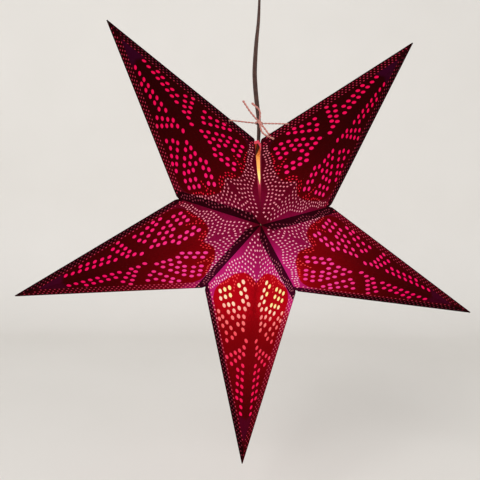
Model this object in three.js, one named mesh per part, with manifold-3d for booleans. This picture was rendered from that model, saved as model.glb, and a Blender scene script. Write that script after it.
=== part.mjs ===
// A paper star lantern: five folded paper arms round one centre, tied shut on a twin flex
// that hangs from a ceiling rose and carries a small lampholder and bulb inside the star.
// Millimetres, +Z up. The front faces -Y. The origin is the middle of the rose's ceiling face.

import * as THREE from 'three';
import { mergeVertices } from 'three/addons/utils/BufferGeometryUtils.js';
import Module from 'manifold-3d';

// Star
const tipRadius = 300;
const notchRadius = 98;
const starHalfDepth = 80;
const endArmsGap = 11;
const topSeamWidth = 8;
const topNotchHeight = 104;
const starRollDegrees = 1.33;
const armNames = ['upper_right', 'lower_right', 'bottom', 'lower_left', 'upper_left'];

// Paper and tissue
const paperThickness = 0.5;
const tissueThickness = 0.2;
const creaseGap = 0.15;
const seamGap = 0.5;
const tipCut = 3;
const centreCut = 2.2;
const notchCut = 0.9;
const glueFlapWidth = 9;
const edgeFlapWidth = 7;
const flapInset = 1.2;
const flapEndCut = 12;
const tissueRidgeMargin = 4;
const tissueSeamMargin = 11;
const tissueEdgeMargin = 9.5;

// The punched ovals of one face, in rows. A row has the places of its first and last ovals and
// their count. A place is a share of the way along the ridge and of the way out to the notch.
const ovalRows = [
  [[0.519, 0.135], [0.738, 0.11], 8],
  [[0.519, 0.225], [0.648, 0.206], 5],
  [[0.438, 0.216], [0.417, 0.456], 4],
  [[0.47, 0.135], [0.467, 0.356], 4],
  [[0.42, 0.106], [0.441, 0.135], 2],
  [[0.154, 0.235], [0.271, 0.11], 4],
  [[0.15, 0.31], [0.276, 0.169], 4],
  [[0.344, 0.323], [0.172, 0.679], 5],
  [[0.118, 0.488], [0.09, 0.669], 3],
];
const ovalLengthShare = 0.0212;
const ovalWidthShare = 0.082;

// Clearances
const fitGap = 0.3;
const swingGap = 0.6;

// Sides of round pieces and bores
const roundSides = 20;
const boreSides = 12;

// Hanging heights, counted up from the centre of the star
const starDrop = 335;
const tieRise = 19;
const knotHeight = topNotchHeight + tieRise;
const holderHeight = 20;
const hangOffset = 3.3;

// Twin flex
const flexWidth = 5.6;
const flexThickness = 2.8;
const flexSides = 8;
const flexSteps = 36;

// The flex above the knot: sideways place, and share of the way up from the knot to the rose.
const upperSway = [
  [1.6, 0.08],
  [-0.6, 0.17],
  [-2.2, 0.25],
  [-3.4, 0.34],
  [-3.3, 0.44],
  [-2.3, 0.57],
  [-0.5, 0.71],
  [0, 0.85],
  [0, 0.95],
];

// The flex inside the star: places across and back, and share of the way down to the holder.
const lowerSway = [
  [3.3, 0, 0.17],
  [2.8, 0.4, 0.28],
  [-1.2, 2.4, 0.39],
  [-4.8, 4, 0.53],
  [-5, 4, 0.67],
  [-1.5, 1.8, 0.79],
  [3.2, 0, 0.9],
];

// Ceiling rose
const strapLength = 62;
const strapWidth = 14;
const strapThickness = 1.5;
const slotLength = 12;
const slotWidth = 4.8;
const slotPitch = 42;
const stirrupWidth = 20;
const stirrupDrop = 13;
const cupRadius = 38;
const cupHeight = 27;
const cupWall = 1.6;
const cupFloorRadius = 24;
const cupSides = 32;
const cupShoulderShare = 0.45;
const cupBendShare = 0.84;
const nippleRadius = 5;
const nippleBore = 3.3;
const nippleThread = 9;
const nutAcrossFlats = 13;
const nutThickness = 2.6;
const gripRadius = 8;
const gripHeight = 13;
const gripMouthRadius = 4.6;
const gripTaperShare = 0.4;
const blockLength = 18;
const blockWidth = 9;
const blockHeight = 9;
const wireBore = 1.4;
const blockDrop = 5.7;
const tailRadius = 1.5;
const tailSteps = 12;

// Lampholder
const holderRadius = 14;
const holderLength = 50;
const holderWall = 1.8;
const capHeight = 19;
const capNeckRadius = 6.5;
const capShoulderShare = 0.3;
const capSideShare = 0.5;
const insertHeight = 7;
const tongueRadius = 2.2;
const tongueHeight = 1.6;
const ringRadius = 19;
const ringHeight = 6;
const ringDepth = 9;
const ringFlangeShare = 0.6;
const sleeveWall = 0.4;
const sleeveLength = 20;

// Bulb
const screwRadius = 7;
const screwLength = 21;
const tipHeight = 3.6;
const tipRadiusSmall = 2.4;
const globeRadius = 22.5;
const glassWall = 0.8;
const globeSteps = 7;
const globeClearance = 3.6;
const globeNeckShare = 1.9;
const stemRadius = 1.6;
const stemLength = 26;
const stemTaperShare = 0.4;
const filamentRadius = 0.9;
const filamentSpread = 9;
const filamentHeight = 22;
const filamentBendShare = 0.25;
const filamentDropShare = 0.4;

// Tie strings
const stringRadius = 1;
const stringHoleRadius = 1.6;
const stringHoleAlong = 37;
const stringHoleInset = 5;
const endKnotRadius = 2.3;
const tieLoopRadius = 4.1;
const tieKnotRadius = 2.1;
const stringSides = 5;
const stringSteps = 14;
const stringLeaveShare = 0.12;
const tailLength = 24;
const tailLumpRadius = 1.45;

// The four loose ends of the tie: shares of the tail length across, back and up.
const tailEndShares = [
  [-0.83, -0.3, 0.98],
  [-0.38, -0.36, 0.88],
  [0.66, -0.56, -0.85],
  [0.55, -0.5, -0.72],
];

const wasm = await Module();
wasm.setup();

const lantern = new THREE.Group();
lantern.name = 'paper_star_lantern';

const finishes = {
  paper: new THREE.MeshStandardMaterial({ color: 0x5e0718, roughness: 0.85, metalness: 0 }),
  tissue: new THREE.MeshStandardMaterial({ color: 0xf0186a, roughness: 0.7, metalness: 0 }),
  cotton: new THREE.MeshStandardMaterial({ color: 0xb9847c, roughness: 0.9, metalness: 0 }),
  flex: new THREE.MeshStandardMaterial({ color: 0x2c1612, roughness: 0.45, metalness: 0 }),
  bakelite: new THREE.MeshStandardMaterial({ color: 0x141210, roughness: 0.4, metalness: 0 }),
  rosePlastic: new THREE.MeshStandardMaterial({ color: 0xe8e4dc, roughness: 0.5, metalness: 0 }),
  steel: new THREE.MeshStandardMaterial({ color: 0xb4b4b0, roughness: 0.35, metalness: 1 }),
  brass: new THREE.MeshStandardMaterial({ color: 0xb58a3c, roughness: 0.35, metalness: 1 }),
  ceramic: new THREE.MeshStandardMaterial({ color: 0xe9e6de, roughness: 0.5, metalness: 0 }),
  glass: new THREE.MeshStandardMaterial({ color: 0xffe6a8, roughness: 0.15, metalness: 0 }),
  filament: new THREE.MeshStandardMaterial({ color: 0xffc456, roughness: 0.4, metalness: 0 }),
};

// A closed copy with shared corners and its faces turned outwards.
function closed(geometry) {
  const plain = geometry.clone();
  plain.deleteAttribute('normal');
  plain.deleteAttribute('uv');
  const merged = mergeVertices(plain, 1e-4);
  const place = merged.getAttribute('position');
  const corners = [0, 1, 2].map(() => new THREE.Vector3());
  const kept = [];
  let volume = 0;
  for (let i = 0; i < merged.index.count; i += 3) {
    const face = [0, 1, 2].map((step) => merged.index.getX(i + step));
    if (new Set(face).size < 3) continue;
    corners.forEach((corner, step) => corner.fromBufferAttribute(place, face[step]));
    volume += corners[0].dot(corners[1].clone().cross(corners[2]));
    kept.push(face);
  }
  const turned = volume < 0 ? kept.map(([a, b, c]) => [a, c, b]) : kept;
  merged.setIndex(turned.flat());
  return merged;
}

function toSolid(geometry) {
  const mesh = closed(geometry);
  return new wasm.Manifold(new wasm.Mesh({
    numProp: 3,
    vertProperties: new Float32Array(mesh.getAttribute('position').array),
    triVerts: new Uint32Array(mesh.index.array),
  }));
}

function toGeometry(solid) {
  const mesh = solid.getMesh();
  const geometry = new THREE.BufferGeometry();
  geometry.setAttribute('position', new THREE.BufferAttribute(new Float32Array(mesh.vertProperties), 3));
  geometry.setIndex(Array.from(mesh.triVerts));
  return geometry;
}

function join(...geometries) {
  const solids = geometries.map(toSolid);
  return toGeometry(solids.reduce((whole, piece) => whole.add(piece)));
}

function cut(geometry, ...tools) {
  return toGeometry(tools.map(toSolid).reduce((whole, tool) => whole.subtract(tool), toSolid(geometry)));
}

function addPiece(parent, name, geometry, material) {
  const mesh = new THREE.Mesh(closed(geometry), material);
  mesh.name = name;
  parent.add(mesh);
  return mesh;
}

// A solid of revolution about Z from a closed outline of [radius, height] pairs.
function revolve(outline, sides) {
  const points = outline.map(([radius, height]) => new THREE.Vector2(radius, height));
  points.push(points[0].clone());
  return new THREE.LatheGeometry(points, sides).rotateX(Math.PI / 2);
}

function tube(points, radius, sides, steps) {
  const section = new THREE.Shape();
  for (let i = 0; i < sides; i += 1) {
    const turn = (2 * Math.PI * i) / sides;
    const corner = [radius * Math.cos(turn), radius * Math.sin(turn)];
    if (i === 0) section.moveTo(...corner);
    else section.lineTo(...corner);
  }
  section.closePath();
  const route = new THREE.CatmullRomCurve3(points);
  return new THREE.ExtrudeGeometry(section, { steps, bevelEnabled: false, extrudePath: route });
}

// Star layout. The seams are numbered clockwise from the open one at the top, and arm k lies
// between seam k and seam k + 1. The open seam has two sides, seam 0 and seam 5.
const armCount = armNames.length;
const topSeamAngle = 2 * Math.asin(endArmsGap / 2 / notchRadius);
const armAngle = (2 * Math.PI - topSeamAngle) / armCount;
const frontCentre = new THREE.Vector3(0, -starHalfDepth, 0);
const backCentre = new THREE.Vector3(0, starHalfDepth, 0);

function seamTurn(number) {
  return Math.PI / 2 - topSeamAngle / 2 - armAngle * number;
}

function ringPoint(radius, turn) {
  return new THREE.Vector3(radius * Math.cos(turn), 0, radius * Math.sin(turn));
}

function armTip(number) {
  return ringPoint(tipRadius, seamTurn(number + 0.5));
}

// The tie strings draw the two open notches at the top together and up.
function notch(number) {
  if (number === 0) return new THREE.Vector3(topSeamWidth / 2, 0, topNotchHeight);
  if (number === armCount) return new THREE.Vector3(-topSeamWidth / 2, 0, topNotchHeight);
  return ringPoint(notchRadius, seamTurn(number));
}

// One face of an arm is a triangle from the star's centre, along the ridge to the tip and back by
// the notch. Its own axes: x along the ridge, z out of the paper, y to one side.
function faceAxes(centre, tip, corner) {
  const along = tip.clone().sub(centre).normalize();
  const out = along.clone().cross(corner.clone().sub(centre)).normalize();
  if (out.y * centre.y < 0) out.negate();
  const across = out.clone().cross(along);
  return new THREE.Matrix4().makeBasis(along, across, out).setPosition(centre);
}

function lineShift(from, to, inside, distance) {
  const normal = new THREE.Vector2(from.y - to.y, to.x - from.x).normalize();
  if (normal.dot(inside.clone().sub(from)) < 0) normal.negate();
  return [from.clone().addScaledVector(normal, distance), to.clone().addScaledVector(normal, distance)];
}

function crossing([a, b], [c, d]) {
  const ab = b.clone().sub(a);
  const cd = d.clone().sub(c);
  const share = c.clone().sub(a).cross(cd) / ab.cross(cd);
  return a.clone().addScaledVector(ab, share);
}

// The triangle of a face drawn in from its ridge, its outer edge and its seam.
function insetTriangle([centre, tip, corner], ridge, edge, seam) {
  const ridgeLine = lineShift(centre, tip, corner, ridge);
  const edgeLine = lineShift(tip, corner, centre, edge);
  const seamLine = lineShift(corner, centre, tip, seam);
  return [crossing(seamLine, ridgeLine), crossing(ridgeLine, edgeLine), crossing(edgeLine, seamLine)];
}

function cutCorners(points, cuts) {
  return points.flatMap((point, i) => {
    const before = points[(i + points.length - 1) % points.length];
    const after = points[(i + 1) % points.length];
    const toBefore = before.clone().sub(point).setLength(cuts[i]);
    const toAfter = after.clone().sub(point).setLength(cuts[i]);
    return [point.clone().add(toBefore), point.clone().add(toAfter)];
  });
}

function plate(outline, thickness, bottom) {
  const shape = new THREE.Shape(outline);
  const geometry = new THREE.ExtrudeGeometry(shape, { depth: thickness, bevelEnabled: false });
  return geometry.translate(0, 0, bottom);
}

// A strip glued behind a face along its edge or seam. It starts at the notch with a slanted end
// and runs on until it meets the ridge.
function flapStrip([middle, tip, corner], end, width) {
  const inside = end === tip ? middle : tip;
  const ridgeLine = lineShift(middle, tip, corner, flapInset);
  const nearLine = lineShift(corner, end, inside, flapInset);
  const farLine = lineShift(corner, end, inside, flapInset + width);
  const along = end.clone().sub(corner).normalize();
  return [
    nearLine[0].clone().addScaledVector(along, flapInset),
    farLine[0].clone().addScaledVector(along, flapEndCut),
    crossing(farLine, ridgeLine),
    crossing(nearLine, ridgeLine),
  ];
}

// The corners of each oval that is punched through a face.
function punchedOvals([middle, tip, corner]) {
  const halfLength = tip.distanceTo(middle) * ovalLengthShare / 2;
  const halfWidth = (corner.y - middle.y) * ovalWidthShare / 2;
  return ovalRows.flatMap(([first, last, count]) => Array.from({ length: count }, (_, i) => {
    const [along, out] = first.map((share, axis) => share + (last[axis] - share) * i / (count - 1));
    const place = middle.clone()
      .addScaledVector(tip.clone().sub(middle), along)
      .addScaledVector(corner.clone().sub(middle), out);
    return [[halfLength, 0], [0, halfWidth], [-halfLength, 0], [0, -halfWidth]]
      .map(([x, y]) => place.clone().add(new THREE.Vector2(x, y)));
  }));
}

function flatPoint(axes, point) {
  const local = point.clone().applyMatrix4(axes.clone().invert());
  return new THREE.Vector2(local.x, local.y);
}

// Where a tie string goes through a face: along the outer edge from the notch, and in from it.
function stringHole([, tip, corner], centre) {
  const along = tip.clone().sub(corner).setLength(stringHoleAlong);
  const onEdge = corner.clone().add(along);
  return lineShift(onEdge, tip, centre, stringHoleInset)[0];
}

const star = new THREE.Group();
star.position.set(0, 0, -starDrop);
star.rotation.set(0, THREE.MathUtils.degToRad(starRollDegrees), 0);
lantern.add(star);

function addFace(number, isFront, isClockwise) {
  const centre = isFront ? frontCentre : backCentre;
  const axes = faceAxes(centre, armTip(number), notch(isClockwise ? number + 1 : number));
  const corners = [centre, armTip(number), notch(isClockwise ? number + 1 : number)]
    .map((point) => flatPoint(axes, point));
  const [middle, tip] = corners;
  const inset = insetTriangle(corners, creaseGap, creaseGap, seamGap);
  const outline = cutCorners(inset, [centreCut, tipCut, notchCut]);
  let paper = plate(outline, paperThickness, 0);
  if (isFront) {
    const punches = punchedOvals(corners).map((oval) => plate(oval, 3 * paperThickness, -paperThickness));
    paper = cut(paper, ...punches);
  }

  // Each arm's own flaps: along its first seam, and along its last outer edge.
  const isTopSeam = number === 0 && !isClockwise;
  if (!isClockwise && !isTopSeam) {
    const strip = flapStrip(corners, middle, glueFlapWidth);
    paper = join(paper, plate(strip, paperThickness + creaseGap, -paperThickness));
  }
  if (isClockwise) {
    const strip = flapStrip(corners, tip, edgeFlapWidth);
    paper = join(paper, plate(strip, paperThickness + creaseGap, -paperThickness));
  }

  const takesString = isFront && ((number === 0 && !isClockwise) || (number === armCount - 1 && isClockwise));
  if (takesString) {
    const hole = stringHole(corners, middle);
    const depth = 4 * paperThickness;
    const drill = new THREE.CylinderGeometry(stringHoleRadius, stringHoleRadius, depth, boreSides)
      .rotateX(Math.PI / 2);
    paper = cut(paper, drill.translate(hole.x, hole.y, 0));
  }

  const side = `${armNames[number]}_${isFront ? 'front' : 'back'}_${isClockwise ? 'clockwise' : 'counter'}`;
  const group = new THREE.Group();
  group.applyMatrix4(axes);
  star.add(group);
  addPiece(group, `${side}_panel`, paper, finishes.paper);

  const tissue = insetTriangle(corners, tissueRidgeMargin, tissueEdgeMargin, tissueSeamMargin);
  const tissueBottom = -fitGap - tissueThickness;
  addPiece(group, `${side}_tissue`, plate(tissue, tissueThickness, tissueBottom), finishes.tissue);
}

for (let number = 0; number < armCount; number += 1) {
  for (const isFront of [true, false]) {
    addFace(number, isFront, true);
    addFace(number, isFront, false);
  }
}

// Tie strings. Each goes out through the hole near an open seam, over the edge and to the knot.
const knotPlace = new THREE.Vector3(hangOffset, 0, knotHeight - starDrop);

function addTieString(name, number, isClockwise) {
  const centre = frontCentre;
  const edgeCorner = notch(isClockwise ? number + 1 : number);
  const axes = faceAxes(centre, armTip(number), edgeCorner);
  const corners = [centre, armTip(number), edgeCorner].map((point) => flatPoint(axes, point));
  const hole = stringHole(corners, corners[0]);
  star.updateMatrix();
  const toLantern = star.matrix.clone().multiply(axes);
  const atDepth = (depth) => new THREE.Vector3(hole.x, hole.y, depth).applyMatrix4(toLantern);
  const clear = paperThickness + stringRadius + fitGap;
  const side = Math.sign(atDepth(0).x - knotPlace.x);
  const end = knotPlace.clone();
  end.x += side * (tieLoopRadius + stringRadius + fitGap);
  const over = atDepth(clear).lerp(end, stringLeaveShare);
  over.y -= stringRadius;
  const route = [atDepth(-endKnotRadius - clear), atDepth(0), atDepth(clear), over, end];
  const run = tube(route, stringRadius, stringSides, stringSteps);
  const ball = new THREE.SphereGeometry(endKnotRadius, 8, 5);
  const ballPlace = atDepth(-endKnotRadius - clear);
  addPiece(lantern, name, join(run, ball.translate(...ballPlace)), finishes.cotton);
}

addTieString('right_tie_string', 0, false);
addTieString('left_tie_string', armCount - 1, true);

// The knot: a loop round the flex, a lump in front of it and four loose ends.
function addTieKnot() {
  const loop = new THREE.TorusGeometry(tieLoopRadius, stringRadius, stringSides, boreSides);
  const lump = new THREE.SphereGeometry(tieKnotRadius, 8, 5).translate(0, -tieLoopRadius - stringRadius, 0);
  const ends = tailEndShares.map(([across, back, up], i) => {
    const start = new THREE.Vector3(0, -tieLoopRadius - stringRadius, 0);
    const tip = new THREE.Vector3(across * tailLength, back * tailLength, up * tailLength);
    const bend = start.clone().lerp(tip, 0.5);
    bend.x += stringRadius * (i % 2 ? 1 : -1);
    bend.y -= stringRadius;
    const end = new THREE.SphereGeometry(tailLumpRadius, 5, 4).translate(...tip);
    return join(tube([start, bend, tip], stringRadius, stringSides, 3), end);
  });
  const knot = addPiece(lantern, 'tie_knot', join(loop, lump, ...ends), finishes.cotton);
  knot.position.copy(knotPlace);
}

addTieKnot();

// Twin flex from the rose's grip to the lampholder, at the star's height and below it.
const gripBottom = -cupHeight - gripHeight;
const flexTop = gripBottom + starDrop - swingGap;
const flexEnd = holderHeight + fitGap;
const flexRoute = [
  [0, 0, flexTop],
  ...upperSway.map(([x, share]) => [x, 0, knotHeight + share * (flexTop - knotHeight)]).reverse(),
  [hangOffset, 0, knotHeight],
  ...lowerSway.map(([x, y, share]) => [x, y, knotHeight - share * (knotHeight - flexEnd)]),
  [hangOffset, 0, flexEnd],
];

function addFlex() {
  const section = new THREE.Shape();
  section.absellipse(0, 0, flexThickness / 2, flexWidth / 2, 0, 2 * Math.PI, false, 0);
  const corners = section.getPoints(flexSides).slice(0, flexSides);
  const outline = new THREE.Shape(corners);
  const points = flexRoute.map(([x, y, z]) => new THREE.Vector3(x, y, z - starDrop));
  const route = new THREE.CatmullRomCurve3(points);
  const settings = { steps: flexSteps, bevelEnabled: false, extrudePath: route };
  addPiece(lantern, 'twin_flex', new THREE.ExtrudeGeometry(outline, settings), finishes.flex);
}

addFlex();

// Ceiling rose
function addStrap() {
  const outline = new THREE.Shape();
  const straight = strapLength / 2 - strapWidth / 2;
  outline.absarc(straight, 0, strapWidth / 2, -Math.PI / 2, Math.PI / 2, false);
  outline.absarc(-straight, 0, strapWidth / 2, Math.PI / 2, 1.5 * Math.PI, false);
  for (const side of [-1, 1]) {
    const slot = new THREE.Path();
    const reach = slotLength / 2 - slotWidth / 2;
    slot.absarc(side * slotPitch / 2 + reach, 0, slotWidth / 2, -Math.PI / 2, Math.PI / 2, false);
    slot.absarc(side * slotPitch / 2 - reach, 0, slotWidth / 2, Math.PI / 2, 1.5 * Math.PI, false);
    outline.holes.push(slot);
  }
  const settings = { depth: strapThickness, bevelEnabled: false, curveSegments: 6 };
  const strap = new THREE.ExtrudeGeometry(outline, settings).translate(0, 0, -strapThickness);

  const legs = [-1, 1].map((side) => new THREE.BoxGeometry(strapThickness, strapWidth, stirrupDrop)
    .translate(side * (stirrupWidth - strapThickness) / 2, 0, -stirrupDrop / 2));
  const floor = new THREE.BoxGeometry(stirrupWidth, strapWidth, strapThickness)
    .translate(0, 0, -stirrupDrop + strapThickness / 2);
  const bore = nippleRadius + fitGap;
  const hole = new THREE.CylinderGeometry(bore, bore, 3 * strapThickness, roundSides)
    .rotateX(Math.PI / 2)
    .translate(0, 0, -stirrupDrop + strapThickness / 2);
  addPiece(lantern, 'rose_bracket', cut(join(strap, floor, ...legs), hole), finishes.steel);
}

function addCup() {
  const inner = cupRadius - cupWall;
  const floorInner = cupFloorRadius - cupWall;
  const hole = nippleRadius + fitGap;
  const shoulder = cupHeight * cupShoulderShare;
  const bend = cupHeight * cupBendShare;
  const cup = revolve([
    [cupRadius, -fitGap],
    [inner, -fitGap],
    [inner - cupWall / 2, -shoulder],
    [(inner + floorInner) / 2, -bend + cupWall / 3],
    [floorInner, -cupHeight + cupWall],
    [hole, -cupHeight + cupWall],
    [hole, -cupHeight],
    [cupFloorRadius, -cupHeight],
    [(cupRadius + cupFloorRadius) / 2 + cupWall / 2, -bend - cupWall / 3],
    [cupRadius - cupWall / 2, -shoulder],
  ], cupSides);
  addPiece(lantern, 'rose_cup', cup, finishes.rosePlastic);
}

const nippleTop = -stirrupDrop + strapThickness + nutThickness + 2 * fitGap;
const nippleBottom = -cupHeight - nippleThread;

function addNipple() {
  const nipple = revolve([
    [nippleRadius, nippleTop],
    [nippleBore, nippleTop],
    [nippleBore, nippleBottom],
    [nippleRadius, nippleBottom],
  ], roundSides);
  addPiece(lantern, 'rose_nipple', nipple, finishes.steel);
}

function addNippleNut() {
  const nutRadius = nutAcrossFlats / Math.sqrt(3);
  const nut = new THREE.CylinderGeometry(nutRadius, nutRadius, nutThickness, 6)
    .rotateX(Math.PI / 2)
    .rotateZ(Math.PI / 6);
  const bore = nippleRadius + fitGap;
  const drill = new THREE.CylinderGeometry(bore, bore, 2 * nutThickness, roundSides).rotateX(Math.PI / 2);
  const height = -stirrupDrop + strapThickness + fitGap + nutThickness / 2;
  const mesh = addPiece(lantern, 'nipple_nut', cut(nut, drill), finishes.brass);
  mesh.position.set(0, 0, height);
}

function addGrip() {
  const bore = nippleRadius + fitGap;
  const top = -cupHeight - fitGap;
  const threadEnd = nippleBottom - fitGap;
  const grip = revolve([
    [gripRadius, top],
    [bore, top],
    [bore, threadEnd],
    [nippleBore, threadEnd],
    [nippleBore, gripBottom],
    [gripMouthRadius, gripBottom],
    [gripRadius, top - gripHeight * gripTaperShare],
  ], roundSides);
  addPiece(lantern, 'cord_grip', grip, finishes.rosePlastic);
}

function addTerminalBlock() {
  const block = new THREE.BoxGeometry(blockLength, blockWidth, blockHeight);
  const bores = [-1, 1].map((side) => {
    const drill = new THREE.CylinderGeometry(wireBore, wireBore, 2 * blockWidth, boreSides);
    return drill.translate(side * blockLength / 4, 0, 0);
  });
  const mesh = addPiece(lantern, 'terminal_block', cut(block, ...bores), finishes.rosePlastic);
  const outward = strapWidth / 2 + blockWidth / 2 + fitGap;
  mesh.position.set(0, outward, -blockDrop);
}

// The short tail of flex inside the rose, from the grip up through the nipple to the block.
const tailRoute = [
  [0, 0, gripBottom + swingGap],
  [0, 0, -30],
  [0, 0, -20],
  [0, 0, -13],
  [0, 0.3, -10],
  [0, 1.6, -7],
  [0, 4.2, -blockDrop],
  [0, strapWidth / 2, -blockDrop],
];

function addFlexTail() {
  const points = tailRoute.map((point) => new THREE.Vector3(...point));
  addPiece(lantern, 'flex_tail', tube(points, tailRadius, flexSides, tailSteps), finishes.flex);
}

addStrap();
addCup();
addNipple();
addNippleNut();
addGrip();
addTerminalBlock();
addFlexTail();

// Lampholder and bulb, on one upright axis below the knot. Heights count down from the holder's top.
const lamp = new THREE.Group();
lamp.position.set(hangOffset, 0, holderHeight - starDrop);
lantern.add(lamp);

const flexHole = flexWidth / 2 + fitGap;
const insertTop = -capHeight + insertHeight + fitGap;
const insertBottom = insertTop - insertHeight;
const sleeveTop = insertBottom - fitGap;
const sleeveRadius = screwRadius + fitGap + sleeveWall;
const bodyTop = -capHeight - fitGap;

function addHolderCap() {
  const inner = holderRadius - holderWall;
  const shoulder = capHeight * capShoulderShare;
  const side = capHeight * capSideShare;
  const cap = revolve([
    [flexHole, 0],
    [capNeckRadius, 0],
    [inner, -shoulder],
    [holderRadius, -side],
    [holderRadius, -capHeight],
    [inner, -capHeight],
    [inner, -side - holderWall / 2],
    [inner - holderWall, -shoulder - holderWall],
    [capNeckRadius, -holderWall],
    [flexHole, -holderWall],
  ], roundSides);
  addPiece(lamp, 'holder_cap', cap, finishes.bakelite);
}

function addContactInsert() {
  const radius = holderRadius - holderWall - fitGap;
  const insert = revolve([
    [0, insertTop],
    [radius, insertTop],
    [radius, insertBottom],
    [tongueRadius, insertBottom],
    [tongueRadius, insertBottom - tongueHeight],
    [0, insertBottom - tongueHeight],
  ], roundSides);
  addPiece(lamp, 'contact_insert', insert, finishes.ceramic);
}

function addHolderBody() {
  const bore = sleeveRadius + fitGap;
  const skirtInner = holderRadius - holderWall;
  const body = revolve([
    [holderRadius, bodyTop],
    [bore, bodyTop],
    [bore, -holderLength + ringDepth],
    [skirtInner, -holderLength + ringDepth],
    [skirtInner, -holderLength],
    [holderRadius, -holderLength],
  ], roundSides);
  addPiece(lamp, 'holder_body', body, finishes.bakelite);
}

function addThreadSleeve() {
  const bottom = sleeveTop - sleeveLength;
  const sleeve = revolve([
    [sleeveRadius, sleeveTop],
    [sleeveRadius - sleeveWall, sleeveTop],
    [sleeveRadius - sleeveWall, bottom],
    [sleeveRadius, bottom],
  ], roundSides);
  addPiece(lamp, 'thread_sleeve', sleeve, finishes.brass);
}

function addHolderRing() {
  const inner = holderRadius + fitGap;
  const top = -holderLength + ringDepth + ringHeight;
  const ring = revolve([
    [inner, top],
    [inner + holderWall, top],
    [inner + holderWall, top - ringHeight * ringFlangeShare],
    [ringRadius, top - ringHeight * ringFlangeShare],
    [ringRadius, top - ringHeight],
    [inner, top - ringHeight],
  ], roundSides);
  addPiece(lamp, 'holder_ring', ring, finishes.bakelite);
}

const bulbTop = insertBottom - tongueHeight - fitGap;
const bulb = new THREE.Group();
bulb.position.set(0, 0, bulbTop);
lamp.add(bulb);

function addBulbTip() {
  const tip = revolve([
    [0, 0],
    [tipRadiusSmall, 0],
    [screwRadius - sleeveWall, -tipHeight],
    [0, -tipHeight],
  ], roundSides);
  addPiece(bulb, 'bulb_contact_tip', tip, finishes.ceramic);
}

function addScrewShell() {
  const top = -tipHeight - fitGap;
  const bottom = top - screwLength;
  const shell = revolve([
    [screwRadius, top],
    [screwRadius - sleeveWall, top],
    [screwRadius - sleeveWall, bottom],
    [screwRadius, bottom],
  ], roundSides);
  addPiece(bulb, 'bulb_screw_shell', shell, finishes.brass);
}

// The glass: a neck held in the screw shell, opening into a round globe.
function globeOutline(radius, neckRadius, neckTop) {
  const lowestRim = Math.min(-holderLength - bulbTop, -tipHeight - fitGap - screwLength);
  const centreHeight = lowestRim - globeClearance - globeRadius;
  const start = Math.asin(neckRadius / radius) * globeNeckShare;
  const steps = globeSteps;
  const arc = Array.from({ length: steps + 1 }, (_, i) => {
    const turn = start + ((Math.PI - start) * i) / steps;
    return [i === steps ? 0 : radius * Math.sin(turn), centreHeight + radius * Math.cos(turn)];
  });
  return [[neckRadius, neckTop], [neckRadius, (neckTop + arc[0][1]) / 2], ...arc];
}

const neckTopHeight = -tipHeight - screwLength / 2;

function addBulbGlass() {
  const neck = screwRadius - sleeveWall - fitGap;
  const outer = globeOutline(globeRadius, neck, neckTopHeight);
  const inner = globeOutline(globeRadius - glassWall, neck - glassWall, neckTopHeight);
  const points = [...outer, ...inner.reverse()].map(([radius, height]) => new THREE.Vector2(radius, height));
  points.push(points[0].clone());
  const glass = new THREE.LatheGeometry(points, roundSides).rotateX(Math.PI / 2);
  addPiece(bulb, 'bulb_glass', glass, finishes.glass);
}

// The glass stem inside the bulb, with two filament sticks leaning out from its end.
function addFilamentStem() {
  const neck = screwRadius - sleeveWall - fitGap - glassWall - fitGap;
  const foot = neckTopHeight - glassWall;
  const stem = revolve([
    [0, foot],
    [neck, foot],
    [stemRadius, foot - stemLength * stemTaperShare],
    [stemRadius, foot - stemLength],
    [0, foot - stemLength],
  ], boreSides);
  const sticks = [-1, 1].map((side) => tube([
    new THREE.Vector3(0, 0, foot - stemLength + stemRadius),
    new THREE.Vector3(side * filamentSpread / 2, 0, foot - stemLength + filamentHeight * filamentBendShare),
    new THREE.Vector3(side * filamentSpread, 0, foot - stemLength - filamentHeight * filamentDropShare),
  ], filamentRadius, stringSides, 6));
  addPiece(bulb, 'filament_stem', join(stem, ...sticks), finishes.filament);
}

addHolderCap();
addContactInsert();
addHolderBody();
addThreadSleeve();
addHolderRing();
addBulbTip();
addScrewShell();
addBulbGlass();
addFilamentStem();

export default lantern;
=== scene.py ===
import math

import bpy
import numpy as np
from mathutils import Matrix, Vector
from mathutils.geometry import delaunay_2d_cdt


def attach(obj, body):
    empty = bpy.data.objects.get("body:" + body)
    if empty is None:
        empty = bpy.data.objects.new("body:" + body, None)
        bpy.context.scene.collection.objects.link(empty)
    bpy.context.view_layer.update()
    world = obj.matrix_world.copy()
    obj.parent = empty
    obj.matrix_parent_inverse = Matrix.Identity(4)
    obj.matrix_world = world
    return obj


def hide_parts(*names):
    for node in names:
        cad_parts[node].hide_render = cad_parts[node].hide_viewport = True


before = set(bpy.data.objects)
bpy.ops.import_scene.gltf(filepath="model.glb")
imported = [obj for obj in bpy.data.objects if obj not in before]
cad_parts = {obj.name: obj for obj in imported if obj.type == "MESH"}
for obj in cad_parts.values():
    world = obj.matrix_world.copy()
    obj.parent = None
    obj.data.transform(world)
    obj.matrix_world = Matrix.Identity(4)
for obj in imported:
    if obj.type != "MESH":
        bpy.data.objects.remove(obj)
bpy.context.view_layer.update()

# All sizes are in metres, in the frame's own axes: +Z up, the front faces -Y.

# Star
TIP_RADIUS = 0.300
NOTCH_RADIUS = 0.098
HALF_DEPTH = 0.080
END_ARMS_GAP = 0.011
TOP_SEAM_WIDTH = 0.008
TOP_NOTCH_HEIGHT = 0.104
STAR_ROLL = math.radians(1.33)
STAR_DROP = 0.335
ARMS = ("upper_right", "lower_right", "bottom", "lower_left", "upper_left")
TOP_SEAM_ANGLE = 2 * math.asin(END_ARMS_GAP / 2 / NOTCH_RADIUS)
ARM_ANGLE = (2 * math.pi - TOP_SEAM_ANGLE) / len(ARMS)

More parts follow.
